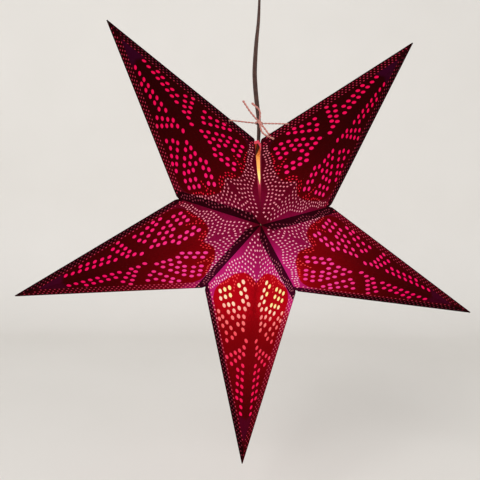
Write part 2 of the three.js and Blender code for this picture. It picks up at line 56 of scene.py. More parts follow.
# Paper, glue flaps and tissue. Depths are measured in from the outer face of the paper.
PAPER_THICKNESS = 0.00045
FLAP_DEPTH = 0.00050
FLAP_THICKNESS = 0.00035
TISSUE_DEPTH = 0.0010
TISSUE_THICKNESS = 0.0002
TIP_CUT = 0.0025
CENTRE_CUT = 0.0011
NOTCH_CUT = 0.0028
OPEN_NOTCH_CUT = 0.0009
GLUE_FLAP_WIDTH = 0.0095
EDGE_FLAP_WIDTH = 0.0075
FLAP_INSET = 0.0010
FLAP_RIDGE_GAP = 0.0014
FLAP_NOTCH_GAP = 0.0025
FLAP_END_CUT = 0.007
FOLD_MITRE = 0.0006
TISSUE_RIDGE_MARGIN = 0.0016
TISSUE_EDGE_MARGIN = 0.0015
TISSUE_SEAM_MARGIN = 0.0006
TISSUE_SEAM_OVERLAP = 0.0007
TISSUE_NOTCH_MARGINS = (0.0005, 0.0006)

# Punched holes
DOT_RADIUS = 0.00122
EDGE_DOT_RADIUS = 0.00112
OVAL_RADIUS = 0.00275
OVAL_SIDES = 20
DOT_SIDES = 10
EDGE_ROWS = 3
EDGE_PITCH = 0.0053
EDGE_ROW = 0.0036
EDGE_MARGIN = 0.0031
EDGE_ROW_START = 0.0065
EDGE_ROW_STOP = 0.018
HOLE_BRIDGE = 0.0005
HOLE_TO_RIDGE = 0.0008
HOLE_TO_EDGE = 0.0009
HOLE_TO_SEAM = 0.001

# Hanging
HANG_OFFSET = 0.0033
KNOT_HEIGHT = 0.123
HOLDER_HEIGHT = 0.020
FLEX_WIDTH = 0.0056
FLEX_THICKNESS = 0.0028
GRIP_BOTTOM = -0.040
SWING_GAP = 0.0006
FIT_GAP = 0.0003


def unit(vectors):
    """One vector, or each row of many, at length 1."""
    return vectors / np.linalg.norm(vectors, axis=-1, keepdims=True)


def circle(sides):
    """Turns round a circle, and the [cos, sin] of each."""
    turn = np.linspace(0, 2 * math.pi, sides, endpoint=False)
    return turn, np.stack([np.cos(turn), np.sin(turn)], axis=1)


def star_point(x, y, z):
    """A place in the star's own axes, turned by the star's small roll and hung from the ceiling."""
    return np.array([
        x * math.cos(STAR_ROLL) + z * math.sin(STAR_ROLL),
        y,
        z * math.cos(STAR_ROLL) - x * math.sin(STAR_ROLL) - STAR_DROP,
    ])


def ring_point(radius, turn):
    return star_point(radius * math.cos(turn), 0, radius * math.sin(turn))


def seam_turn(number):
    return math.pi / 2 - TOP_SEAM_ANGLE / 2 - ARM_ANGLE * number


def notch_place(number):
    """A notch between two arms. The strings draw the two open ones at the top together and up."""
    if number in (0, len(ARMS)):
        side = 1 if number == 0 else -1
        return star_point(side * TOP_SEAM_WIDTH / 2, 0, TOP_NOTCH_HEIGHT)
    return ring_point(NOTCH_RADIUS, seam_turn(number))


# Camera, at the photograph's viewing angle
CAMERA_PLACE = (-0.0554, -0.5850, -0.3331)
CAMERA_PITCH = math.radians(-2.07)
CAMERA_YAW = math.radians(-3.82)
CAMERA_ROLL = math.radians(-1.39)
CAMERA_LENS = 36
CAMERA_SENSOR = 36
CAMERA_NEAR = 0.01


def make_camera():
    data = bpy.data.cameras.new("camera")
    data.lens = CAMERA_LENS
    data.sensor_width = CAMERA_SENSOR
    data.sensor_fit = "HORIZONTAL"
    data.clip_start = CAMERA_NEAR
    camera = bpy.data.objects.new("camera", data)
    bpy.context.scene.collection.objects.link(camera)
    look = Matrix.Rotation(CAMERA_YAW, 3, "Z") @ Matrix.Rotation(CAMERA_PITCH, 3, "X")
    look = look @ Matrix.Rotation(CAMERA_ROLL, 3, "Y")
    right, ahead, up = look.col
    turned = Matrix((right, up, -ahead)).transposed().to_4x4()
    camera.matrix_world = Matrix.Translation(CAMERA_PLACE) @ turned
    bpy.context.scene.camera = camera


make_camera()


# Meshes

def new_piece(name, points, faces, materials, uv=None):
    """Puts an array of points and a list of faces into a new mesh object, with one uv place for
    each point."""
    mesh = bpy.data.meshes.new(name)
    mesh.from_pydata(points.tolist(), [], faces)
    for material in materials:
        mesh.materials.append(material)
    if uv is not None:
        corner = np.zeros(len(mesh.loops), dtype=np.int32)
        mesh.loops.foreach_get("vertex_index", corner)
        layer = mesh.uv_layers.new(name="face")
        layer.data.foreach_set("uv", uv[corner].ravel())
    mesh.update()
    piece = bpy.data.objects.new(name, mesh)
    bpy.context.scene.collection.objects.link(piece)
    return piece


def smooth(piece, angle=35):
    """Smooth shading, with edges left sharp past the angle in degrees."""
    piece.data.shade_smooth()
    piece.data.set_sharp_from_angle(angle=math.radians(angle))
    return piece


def grid_faces(rows, columns, closed=True):
    """Quads between neighbouring rows and columns of a grid. A closed grid's columns join round."""
    row = np.arange(rows - 1)[:, None] * columns
    column = np.arange(columns if closed else columns - 1)[None, :]
    beside = (column + 1) % columns
    corners = [row + column, row + beside, row + columns + beside, row + columns + column]
    return np.stack([corner.ravel() for corner in corners], axis=1)


def joined_tubes(name, grids, material):
    """Several closed tubes in one mesh, each from a grid of rings with a flat cap at each end."""
    points = []
    faces = []
    for rings in grids:
        rows, columns = rings.shape[:2]
        start = sum(len(part) for part in points)
        points.append(rings.reshape(-1, 3))
        faces.extend((grid_faces(rows, columns) + start).tolist())
        faces.append((np.arange(columns)[::-1] + start).tolist())
        faces.append((np.arange(columns) + (rows - 1) * columns + start).tolist())
    return smooth(new_piece(name, np.concatenate(points), faces, [material]), 60)


def sweep(path, section, reference, turn):
    """A tube: at each point of the path the section's [side, up] places are set across the path.
    side = the part of the reference square to the path, up = path direction x side, and the
    section is turned about the path by the turn there."""
    ahead = unit(np.gradient(path, axis=0))
    side = unit(reference - ahead * (ahead * reference).sum(axis=1, keepdims=True))
    up = np.cross(ahead, side)
    cos, sin = np.cos(turn)[:, None], np.sin(turn)[:, None]
    across = section[:, 0] * cos - section[:, 1] * sin
    over = section[:, 0] * sin + section[:, 1] * cos
    return path[:, None] + across[..., None] * side[:, None] + over[..., None] * up[:, None]


def spline(points, steps):
    """A smooth run through all the points: between two points the Catmull-Rom cubic of their four
    neighbours, with the end points repeated."""
    points = np.asarray(points, float)
    padded = np.concatenate([2 * points[:1] - points[1:2], points, 2 * points[-1:] - points[-2:-1]])
    along = np.linspace(0, len(points) - 1, steps + 1)
    index = np.minimum(along.astype(int), len(points) - 2)
    t = (along - index)[:, None]
    a, b, c, d = (padded[index + shift] for shift in range(4))
    return 0.5 * (2 * b + (c - a) * t + (2 * a - 5 * b + 4 * c - d) * t ** 2
                  + (3 * b - 3 * c + d - a) * t ** 3)


# Finishes

def paint(red, green, blue):
    """The linear colour of red, green and blue given on the usual 0 to 255 scale."""
    share = np.array([red, green, blue]) / 255
    linear = np.where(share <= 0.04045, share / 12.92, ((share + 0.055) / 1.055) ** 2.4)
    return (*linear.tolist(), 1.0)


class Number:
    """A number that changes over the surface. Sums on it add Math nodes to its finish."""

    def __init__(self, finish, socket):
        self.finish = finish
        self.socket = socket

    def maths(self, operation, *terms):
        node = self.finish.node("ShaderNodeMath", {"operation": operation}, dict(enumerate(terms)))
        return Number(self.finish, node.outputs[0])

    def __add__(self, other):
        return self.maths("ADD", self, other)

    __radd__ = __add__

    def __sub__(self, other):
        return self.maths("SUBTRACT", self, other)

    def __rsub__(self, other):
        return self.maths("SUBTRACT", other, self)

    def __mul__(self, other):
        return self.maths("MULTIPLY", self, other)

    __rmul__ = __mul__

    def __truediv__(self, other):
        return self.maths("DIVIDE", self, other)

    def __rtruediv__(self, other):
        return self.maths("DIVIDE", other, self)

    def __pow__(self, other):
        return self.maths("POWER", self, other)

    def __abs__(self):
        return self.maths("ABSOLUTE", self)

    def most(self, other):
        return self.maths("MAXIMUM", self, other)

    def rise(self, low, high):
        """0 below low and 1 above high, with a smooth step between. It falls where low is the
        higher."""
        if low > high:
            return 1 - self.rise(high, low)
        settings = {"interpolation_type": "SMOOTHSTEP"}
        values = {"Value": self, "From Min": low, "From Max": high}
        made = self.finish.node("ShaderNodeMapRange", settings, values)
        return Number(self.finish, made.outputs[0])

    def below(self, limit, blur):
        """1 below the limit and 0 above it, with a smooth step from a blur before it to one
        past."""
        return self.rise(limit + blur, limit - blur)


class Finish:
    """A material on the Principled shader. One method makes any other node."""

    def __init__(self, name, constants):
        self.material = bpy.data.materials.new(name)
        self.material.use_nodes = True
        self.tree = self.material.node_tree
        self.shader = self.tree.nodes["Principled BSDF"]
        for socket, value in constants.items():
            self.shader.inputs[socket].default_value = value

    def node(self, kind, settings, values):
        made = self.tree.nodes.new(kind)
        for setting, value in settings.items():
            if setting == "stops":
                ramp = made.color_ramp
                while len(ramp.elements) < len(value):
                    ramp.elements.new(0.5)
                for element, (position, *colour) in zip(ramp.elements, value):
                    element.position = position
                    element.color = (*colour, 1)
            else:
                setattr(made, setting, value)
        for socket, value in values.items():
            if isinstance(value, Number):
                value = value.socket
            if isinstance(value, bpy.types.NodeSocket):
                self.tree.links.new(value, made.inputs[socket])
            else:
                made.inputs[socket].default_value = value
        return made

    def feed(self, socket, value):
        source = value.socket if isinstance(value, Number) else value
        self.tree.links.new(source, self.shader.inputs[socket])

    def place(self):
        return self.node("ShaderNodeTexCoord", {}, {}).outputs["Object"]

    def axes(self, vector):
        parts = self.node("ShaderNodeSeparateXYZ", {}, {"Vector": vector}).outputs
        return [Number(self, part) for part in parts]

    def face_place(self):
        """The place on a face: along its ridge from the star's centre, and out from the ridge."""
        along, out, _ = self.axes(self.node("ShaderNodeUVMap", {"uv_map": "face"}, {}).outputs[0])
        return along, out

    def noise(self, scale, detail, stretch=None, roughness=0.55):
        place = self.place()
        if stretch:
            values = {"Vector": place, "Scale": stretch}
            place = self.node("ShaderNodeMapping", {}, values).outputs[0]
        values = {"Vector": place, "Scale": scale, "Detail": detail, "Roughness": roughness}
        return Number(self, self.node("ShaderNodeTexNoise", {}, values).outputs[0])

    def mix(self, share, first, second):
        settings = {"data_type": "RGBA", "clamp_factor": True}
        return self.node("ShaderNodeMix", settings, {0: share, 6: first, 7: second}).outputs[2]

    def base(self, share, first, second):
        self.feed("Base Color", self.mix(share, first, second))

    def light(self, share, first, second):
        self.feed("Emission Color", self.mix(share, first, second))

    def ramp(self, share, stops):
        """The colour at a share, between stops of [share, red, green, blue]."""
        return self.node("ShaderNodeValToRGB", {"stops": stops}, {"Fac": share}).outputs[0]

    def bump(self, height, distance, strength=1.0):
        values = {"Height": height, "Distance": distance, "Strength": strength}
        self.feed("Normal", self.node("ShaderNodeBump", {}, values).outputs[0])


# The printed and punched layout of one face, the same for all: u runs along the ridge from the
# star's centre and v out from the ridge, to the tip at (RIDGE, 0) and the notch at NOTCH_AT.
RIDGE = math.hypot(TIP_RADIUS, HALF_DEPTH)
NOTCH_U = (NOTCH_RADIUS * TIP_RADIUS * math.cos(ARM_ANGLE / 2) + HALF_DEPTH ** 2) / RIDGE
NOTCH_V = math.sqrt(NOTCH_RADIUS ** 2 + HALF_DEPTH ** 2 - NOTCH_U ** 2)
NOTCH_AT = np.array([NOTCH_U, NOTCH_V])
TIP_AT = np.array([RIDGE, 0.0])
SEAM_SLOPE = math.atan2(NOTCH_V, NOTCH_U)
EDGE_LENGTH = math.hypot(RIDGE - NOTCH_U, NOTCH_V)

# The border of the magenta print, from the ridge to the outer edge, as [u, v]
BORDER = np.array([
    [0.0657, 0.0], [0.0590, 0.0125], [0.0598, 0.0200], [0.0649, 0.0322],
    [0.0822, 0.0527], [0.0905, 0.0600], [0.0965, 0.0630], [0.1060, 0.0645],
])
BORDER_SLOPES = np.diff(BORDER[:, 0]) / np.diff(BORDER[:, 1])

# The punched dots of the magenta print, and those just outside its border, as [u, v] in mm
CENTRE_DOTS = (
    (11.0, 2.5), (17.0, 2.5), (23.3, 2.2), (29.3, 2.2), (36.6, 2.8), (43.1, 3.6),
    (48.2, 5.5), (54.7, 5.8), (58.6, 3.6), (63.0, 2.4), (14.3, 7.6), (21.3, 6.5),
    (26.5, 8.2), (30.1, 5.4), (35.3, 7.3), (40.7, 6.8), (46.0, 9.5), (52.7, 9.3),
    (58.7, 9.5), (61.7, 6.6), (19.0, 10.5), (31.0, 11.0), (39.9, 10.6), (45.0, 13.7),
    (51.4, 13.1), (56.7, 13.3), (23.5, 13.1), (28.8, 15.1), (35.0, 13.1), (39.4, 15.4),
    (43.6, 18.2), (48.8, 17.8), (54.9, 17.6), (33.1, 17.3), (37.2, 19.2), (41.5, 22.3),
    (47.4, 22.1), (53.8, 22.2), (59.4, 24.1), (44.2, 25.6), (50.0, 26.6), (54.7, 27.1),
    (59.2, 28.4), (63.0, 30.2), (46.6, 29.8), (52.3, 31.5), (57.6, 31.7), (64.4, 34.0),
    (49.3, 33.9), (55.4, 35.7), (61.1, 35.3), (65.9, 38.6), (52.2, 37.7), (58.8, 38.7),
    (63.1, 41.3), (70.7, 39.6), (55.4, 41.4), (60.6, 43.8), (64.6, 45.6), (68.9, 43.1),
    (73.3, 45.0), (69.3, 47.5), (72.5, 50.7), (75.8, 47.9), (78.5, 51.3), (74.6, 53.7),
    (77.5, 57.4), (81.0, 55.5), (82.4, 59.6), (79.4, 61.3), (84.6, 57.0), (86.4, 60.9),
    (84.5, 63.7), (89.2, 64.1), (87.7, 67.5), (92.3, 66.4), (90.8, 70.4), (94.5, 69.6),
    (94.8, 73.0),
)
BORDER_DOTS = (
    (67.5, 2.5), (70.6, 5.0), (65.8, 7.1), (69.5, 8.9), (63.3, 10.0), (66.6, 12.0),
    (63.2, 13.9), (59.4, 17.6), (64.8, 26.7), (69.2, 28.7), (74.0, 30.5), (77.9, 31.7),
    (81.9, 32.1), (85.7, 32.1), (67.5, 31.9), (73.7, 33.8), (70.0, 35.6), (74.6, 41.1),
    (77.5, 42.6), (79.5, 45.6), (82.2, 49.3), (84.4, 53.2),
)

# The rows of punched ovals. A row has the places of its first and last ovals and their count. A
# place is a share of the way along the ridge and of the way out to the notch.
OVAL_ROWS = (
    ((0.519, 0.135), (0.738, 0.110), 8), ((0.519, 0.225), (0.648, 0.206), 5),
    ((0.438, 0.216), (0.417, 0.456), 4), ((0.470, 0.135), (0.467, 0.356), 4),
    ((0.420, 0.106), (0.441, 0.135), 2), ((0.154, 0.235), (0.271, 0.110), 4),
    ((0.150, 0.310), (0.276, 0.169), 4), ((0.344, 0.323), (0.172, 0.679), 5),
    ((0.118, 0.488), (0.090, 0.669), 3), ((0.350, 0.375), (0.340, 0.479), 2),
    ((0.303, 0.498), (0.210, 0.654), 3), ((0.154, 0.463), (0.125, 0.650), 3),
    ((0.205, 0.394), (0.171, 0.575), 3), ((0.238, 0.373), (0.219, 0.481), 2),
    ((0.262, 0.394), (0.262, 0.394), 1), ((0.305, 0.179), (0.358, 0.181), 3),
    ((0.248, 0.279), (0.314, 0.281), 3),
)


def seam_distance(u, v):
    """How far a place is from the seam: u * sin(slope) - v * cos(slope)."""
    return u * math.sin(SEAM_SLOPE) - v * math.cos(SEAM_SLOPE)


def edge_distance(u, v):
    """How far a place is from the outer edge between the notch and the tip."""
    return ((RIDGE - u) * NOTCH_V - v * (RIDGE - NOTCH_U)) / EDGE_LENGTH


def oval_places():
    places = []
    for first, last, count in OVAL_ROWS:
        share = np.linspace(first, last, count)
        places.append(share[:, :1] * TIP_AT + share[:, 1:] * NOTCH_AT)
    return np.concatenate(places)


def notch_axes(end):
    """Along a side of the face from the notch to its end, and square to that into the face."""
    ahead = unit(end - NOTCH_AT)
    inward = np.array([ahead[1], -ahead[0]])
    return ahead, inward if inward @ (TIP_AT / 2 - NOTCH_AT) > 0 else -inward


def edge_dots():
    """Rows of dots along the outer edge. Every second row is moved on by half a pitch."""
    row = np.arange(EDGE_ROWS)[:, None, None]
    column = np.arange(int((EDGE_LENGTH - EDGE_ROW_STOP) / EDGE_PITCH) + 1)[None, :, None]
    ahead, inward = notch_axes(TIP_AT)
    along = EDGE_ROW_START + column * EDGE_PITCH + (row % 2) * EDGE_PITCH / 2
    deep = EDGE_MARGIN + row * EDGE_ROW
    return (NOTCH_AT + along * ahead + deep * inward).reshape(-1, 2)


def clear_of(places, radius, others, other_radius):
    """The places whose holes stay a bridge away from all the other holes."""
    gap = np.linalg.norm(places[:, None] - others[None], axis=2)
    return places[(gap > radius + other_radius + HOLE_BRIDGE).all(axis=1)]


def inside_face(places, radius):
    """The places whose holes stay clear of the face's three sides."""
    u, v = places.T
    inside = (v > radius + HOLE_TO_RIDGE) & (edge_distance(u, v) > radius + HOLE_TO_EDGE)
    return places[inside & (seam_distance(u, v) > radius + HOLE_TO_SEAM)]


def hole_groups():
    """All holes of a face as (places, radius, sides), in order of importance."""
    wanted = [
        (oval_places(), OVAL_RADIUS, OVAL_SIDES),
        (np.array(CENTRE_DOTS) / 1000, DOT_RADIUS, DOT_SIDES),
        (np.array(BORDER_DOTS) / 1000, DOT_RADIUS, DOT_SIDES),
        (edge_dots(), EDGE_DOT_RADIUS, DOT_SIDES),
    ]
    kept = []
    for places, radius, sides in wanted:
        places = inside_face(places, radius)
        for others, other_radius, _ in kept:
            places = clear_of(places, radius, others, other_radius)
        kept.append((places, radius, sides))
    return kept


# Points nearer than this are joined in a triangulation
MERGE_DISTANCE = 1e-7


def face_outline(notch_cut):
    """The face's triangle with its three corners cut off a little."""
    corners = [np.zeros(2), TIP_AT, NOTCH_AT]
    cuts = [CENTRE_CUT, TIP_CUT, notch_cut]
    outline = []
    for index, (corner, cut) in enumerate(zip(corners, cuts)):
        for other in (corners[index - 1], corners[(index + 1) % 3]):
            outline.append(corner + cut * unit(other - corner))
    return np.array(outline)


def punched_layout(notch_cut):
    """The flat face as points and triangles, with its holes left open. The outline and the rings
    of the holes are joined up by a constrained triangulation, and triangles inside a ring are
    dropped."""
    rings = [face_outline(notch_cut)]
    for places, radius, sides in hole_groups():
        rings.extend(places[:, None] + radius * circle(sides)[1])
    starts = np.cumsum([0] + [len(ring) for ring in rings])
    points = np.concatenate(rings)
    owner = np.repeat(np.arange(len(rings)), [len(ring) for ring in rings])
    ahead = np.arange(len(points)) + 1
    ahead[starts[1:] - 1] = starts[:-1]
    edges = np.stack([np.arange(len(points)), ahead], axis=1).tolist()
    result = delaunay_2d_cdt([Vector(point) for point in points], edges, [], 0, MERGE_DISTANCE)
    flat = np.array([point[:] for point in result[0]])
    ring_of = owner[[source[0] for source in result[3]]]
    triangles = np.array(result[2])
    held = ring_of[triangles]
    open_hole = (held[:, 0] == held[:, 1]) & (held[:, 1] == held[:, 2]) & (held[:, 0] > 0)
    return flat, triangles[~open_hole]


def mitred(flat):
    """Places on the sheet's inner side: those by the ridge or the outer edge are moved in, so that
    two sheets that meet at a fold don't cut into each other."""
    short = np.maximum(FOLD_MITRE - edge_distance(*flat.T), 0)[:, None]
    inner = flat - short * np.array([NOTCH_V, RIDGE - NOTCH_U]) / EDGE_LENGTH
    inner[:, 1] = np.maximum(inner[:, 1], FOLD_MITRE)
    return inner


class Face:
    """One flat face of an arm: its centre, the runs to its tip and its notch, and the way out."""

    def __init__(self, number, is_front, is_clockwise):
        self.number = number
        self.is_front = is_front
        self.is_clockwise = is_clockwise
        turned = "clockwise" if is_clockwise else "counter"
        self.side = f"{'front' if is_front else 'back'}_{turned}"
        self.name = f"{ARMS[number]}_{self.side}"
        self.centre = star_point(0, -HALF_DEPTH if is_front else HALF_DEPTH, 0)
        self.to_tip = ring_point(TIP_RADIUS, seam_turn(number + 0.5)) - self.centre
        self.to_notch = notch_place(number + 1 if is_clockwise else number) - self.centre
        self.out = unit(np.cross(self.to_tip, self.to_notch))
        self.is_turned = self.out @ (self.centre - star_point(0, 0, 0)) < 0
        if self.is_turned:
            self.out = -self.out

    def places(self, flat, depth):
        """Places in space of [u, v] on the face, at a depth in from the paper's outer side."""
        out = flat[:, 1:2] / NOTCH_V
        along = (flat[:, :1] - out * NOTCH_U) / RIDGE
        return self.centre + along * self.to_tip + out * self.to_notch - depth * self.out

    def sheet(self, name, flat, triangles, depth, thickness, materials):
        """A thin sheet: an outer and an inner layer, and a wall along every open side. A second
        material is that of the inner layer and the walls."""
        count = len(flat)
        points = np.concatenate([self.places(flat, depth),
                                 self.places(mitred(flat), depth + thickness)])
        outer = triangles[:, ::-1] if self.is_turned else triangles
        inner = outer[:, ::-1] + count
        sides = np.concatenate([outer[:, [0, 1]], outer[:, [1, 2]], outer[:, [2, 0]]])
        key = np.sort(sides, axis=1) @ [count, 1]
        _, first, times = np.unique(key, return_index=True, return_counts=True)
        a, b = sides[first[times == 1]].T
        walls = np.stack([b, a, a + count, b + count], axis=1)
        faces = [*outer.tolist(), *inner.tolist(), *walls.tolist()]
        piece = new_piece(name, points, faces, materials, np.concatenate([flat, flat]))
        if len(materials) > 1:
            which = np.repeat([0, 1], [len(outer), len(inner) + len(walls)])
            piece.data.polygons.foreach_set("material_index", which.astype(np.int32))
        return piece


# The bulb's light on the paper. Its strength at a place falls with the distance from the bulb, and
# towards the upper side of the bulb, where the holder stands in the way.
BULB_DROP = 0.056
BULB_PLACE = (HANG_OFFSET, 0.0, -STAR_DROP - BULB_DROP)
BULB_RADIUS = 0.0225
GLOW_REACH = 0.074
GLOW_NEAREST = 0.02
GLOW_LEVEL = 0.73
GLOW_DOWNWARD = 0.27
GLOW_FALL = 2.1
GLOW_TOP = 2.0


def bulb_distance(finish):
    """How far a place is from the middle of the bulb."""
    values = {0: finish.place(), 1: BULB_PLACE}
    made = finish.node("ShaderNodeVectorMath", {"operation": "DISTANCE"}, values)
    return Number(finish, made.outputs["Value"]).most(GLOW_NEAREST)


def below_bulb(finish):
    """How far a place is below the middle of the bulb."""
    return BULB_PLACE[2] - finish.axes(finish.place())[2]


def glow(finish):
    """(level + downward * share of the way down) * (reach / distance)^fall, over its top value."""
    distance = bulb_distance(finish)
    level = GLOW_LEVEL + GLOW_DOWNWARD * (below_bulb(finish) / distance)
    return level * (GLOW_REACH / distance) ** GLOW_FALL / GLOW_TOP


def past_border(u, v):
    """How far u lies past the border of the magenta print, which runs straight between its
    points."""
    border = BORDER[0, 0] + v * float(BORDER_SLOPES[0])
    for (_, bend), before, after in zip(BORDER[1:-1], BORDER_SLOPES, BORDER_SLOPES[1:]):
        border = border + (v - float(bend)).most(0.0) * float(after - before)
    return u - border


MAGENTA_GLOW = (
    (0.03, 0.006, 0.0, 0.0003), (0.09, 0.086, 0.0006, 0.0060),
    (0.12, 0.125, 0.0010, 0.0135), (0.20, 0.22, 0.003, 0.040), (0.35, 0.32, 0.005, 0.072),
    (0.65, 0.49, 0.011, 0.142),
)
RED_GLOW = (
    (0.00, 0.0, 0.0, 0.0), (0.05, 0.034, 0.0001, 0.0005), (0.10, 0.074, 0.0001, 0.001),
    (0.19, 0.152, 0.0003, 0.002), (0.36, 0.195, 0.0003, 0.002),
    (0.50, 0.245, 0.0005, 0.003), (0.62, 0.36, 0.0009, 0.005), (0.70, 0.44, 0.0010, 0.006),
)
PINK_GLOW = (
    (0.02, 0.68, 0.0008, 0.046), (0.06, 0.80, 0.0024, 0.098), (0.14, 0.85, 0.028, 0.210),
    (0.20, 0.88, 0.046, 0.290),
)
CREAM_GLOW = (
    (0.09, 0.78, 0.0040, 0.055), (0.18, 0.80, 0.011, 0.060), (0.40, 0.81, 0.085, 0.080),
    (0.66, 0.88, 0.30, 0.24), (0.80, 0.94, 0.70, 0.48), (0.90, 0.95, 0.88, 0.52),
    (1.00, 0.95, 0.92, 0.33),
)
DOT_GLOW = (
    (0.03, 0.60, 0.16, 0.19), (0.11, 0.76, 0.27, 0.31), (0.20, 0.86, 0.40, 0.45),
    (0.60, 0.92, 0.60, 0.64),
)
EDGE_GLOW = (
    (0.02, 0.34, 0.024, 0.040), (0.08, 0.50, 0.035, 0.065), (0.25, 0.75, 0.10, 0.14),
    (0.55, 0.95, 0.32, 0.36),
)

# Along the ridge, in tenths of a metre: the painted glow of the tissue that shows past the paper at
# the open seam, and of its bare end at the notch
SLIT_GLOW = (
    (0.167, 0.034, 0.001, 0.003), (0.232, 0.055, 0.002, 0.006),
    (0.321, 0.150, 0.007, 0.015), (0.367, 0.225, 0.015, 0.033),
    (0.415, 0.360, 0.025, 0.055), (0.435, 0.500, 0.060, 0.100),
    (0.500, 0.223, 0.032, 0.040), (0.832, 0.223, 0.032, 0.040),
    (0.842, 0.680, 0.068, 0.100),
)

# The inner side of the tissue, by how near the bulb is
LINING_GLOW = (
    (0.100, 0.16, 0.020, 0.006), (0.270, 0.21, 0.030, 0.006), (0.282, 0.36, 0.120, 0.024),
    (0.292, 0.62, 0.28, 0.052), (0.302, 0.80, 0.43, 0.110), (0.325, 0.89, 0.53, 0.130),
    (0.338, 0.93, 0.76, 0.190), (0.352, 0.87, 0.90, 0.290), (0.600, 1.00, 0.94, 0.600),
)

# Where the print, the tissue and the painted light and shade on them change colour on a face:
# places along u or v, or distances from a side of the face or from the print's border, each with
# half the width of its blur. The painted shade of a flap behind the paper reaches a little past the
# flap.
AT_BORDER = (0.0, 0.0005)
AT_EDGE = (0.0, 0.0010)
AT_SEAM = (0.0, 0.0002)
EDGE_PRINT_REACH = (0.0117, 0.0005)
GLUE_FLAP_SHADE_REACH = (GLUE_FLAP_WIDTH + 0.0009, 0.0005)
EDGE_FLAP_SHADE_REACH = (EDGE_FLAP_WIDTH + 0.0011, 0.0005)
RIDGE_DOTS_END = (0.07425, 0.00025)
RIDGE_DOTS_REACH = (0.0154, 0.0002)
OVAL_LANE_MIDDLE = 0.0327
OVAL_LANE_REACH = (0.0032, 0.0002)
RED_DOTS_END = (0.0885, 0.0005)
RED_DOTS_REACH = (0.0071, 0.0002)
EDGE_DOTS_REACH = (0.01225, 0.00025)
NOTCH_GLOW_REACH = (0.00525, 0.00075)

# Longer changes, from and to a place along u
# The painted shade on the magenta print at the star's centre fades out over this run
CENTRE_SHADE_FADES_OUT = (0.0, 0.030)
EDGE_PRINT_FADES = (0.126, 0.104)
PLUM_PATCH_STARTS = (0.240, 0.247)
PLUM_PATCH_ENDS = (0.288, 0.280)


def paper_finish(name, roughness, specular):
    return Finish(name, {"Roughness": roughness, "Specular IOR Level": specular,
                         "Emission Strength": 1.0})


def make_paper(name, has_glue_flap, has_edge_flap):
    """Heavy printed paper, dark red and magenta, that lets some of the bulb's light through. Light
    doesn't come through where a flap lies behind."""
    finish = paper_finish(name, 0.85, 0.01)
    u, v = finish.face_place()
    magenta = past_border(u, v).below(*AT_BORDER)
    edge = edge_distance(u, v)
    mottle = finish.noise(420, 4.0, roughness=0.7)
    cloud = finish.noise(38, 2.0)
    fibre = finish.noise(700, 3.0, stretch=(1.0, 1.0, 0.25))
    shade = mottle.rise(0.25, 0.8) * 0.7 + cloud * 0.5
    red = finish.mix(shade, paint(10, 0, 1), paint(24, 1, 1))
    pink = finish.mix(shade, paint(16, 1, 3), paint(34, 2, 8))
    edge_print = edge.below(*EDGE_PRINT_REACH)
    patch = u.rise(*PLUM_PATCH_STARTS) * u.rise(*PLUM_PATCH_ENDS) * (1 - edge_print)
    red = finish.mix(patch * 0.8, red, paint(38, 2, 26))
    red = finish.mix(edge_print * 0.4, red, pink)
    finish.base(magenta, red, pink)
    strength = glow(finish) * (0.72 + 0.5 * shade)
    # Painted shade: the bulb's light is cut along the outer edge, and where a flap lies behind, a
    # little past the flap.
    painted_shade = edge.below(*AT_EDGE)
    if has_glue_flap:
        painted_shade = painted_shade.most(seam_distance(u, v).below(*GLUE_FLAP_SHADE_REACH))
    if has_edge_flap:
        painted_shade = painted_shade.most(edge.below(*EDGE_FLAP_SHADE_REACH))
    lit_red = finish.ramp(strength, RED_GLOW)
    # Painted shade: the bulb's light on the magenta print is halved at the star's centre and full
    # from 30 mm out.
    lit_pink = finish.ramp(strength * (0.5 + 0.5 * u.rise(*CENTRE_SHADE_FADES_OUT)), MAGENTA_GLOW)
    edge_magenta = edge_print * (0.15 + 0.6 * u.rise(*EDGE_PRINT_FADES))
    lit = finish.mix(magenta.most(edge_magenta), lit_red, lit_pink)
    finish.light(painted_shade * 0.93, lit, (0.0, 0.0, 0.0, 1.0))
    finish.bump(mottle * 0.6 + fibre * 0.4, 0.0003, 0.5)
    return finish.material


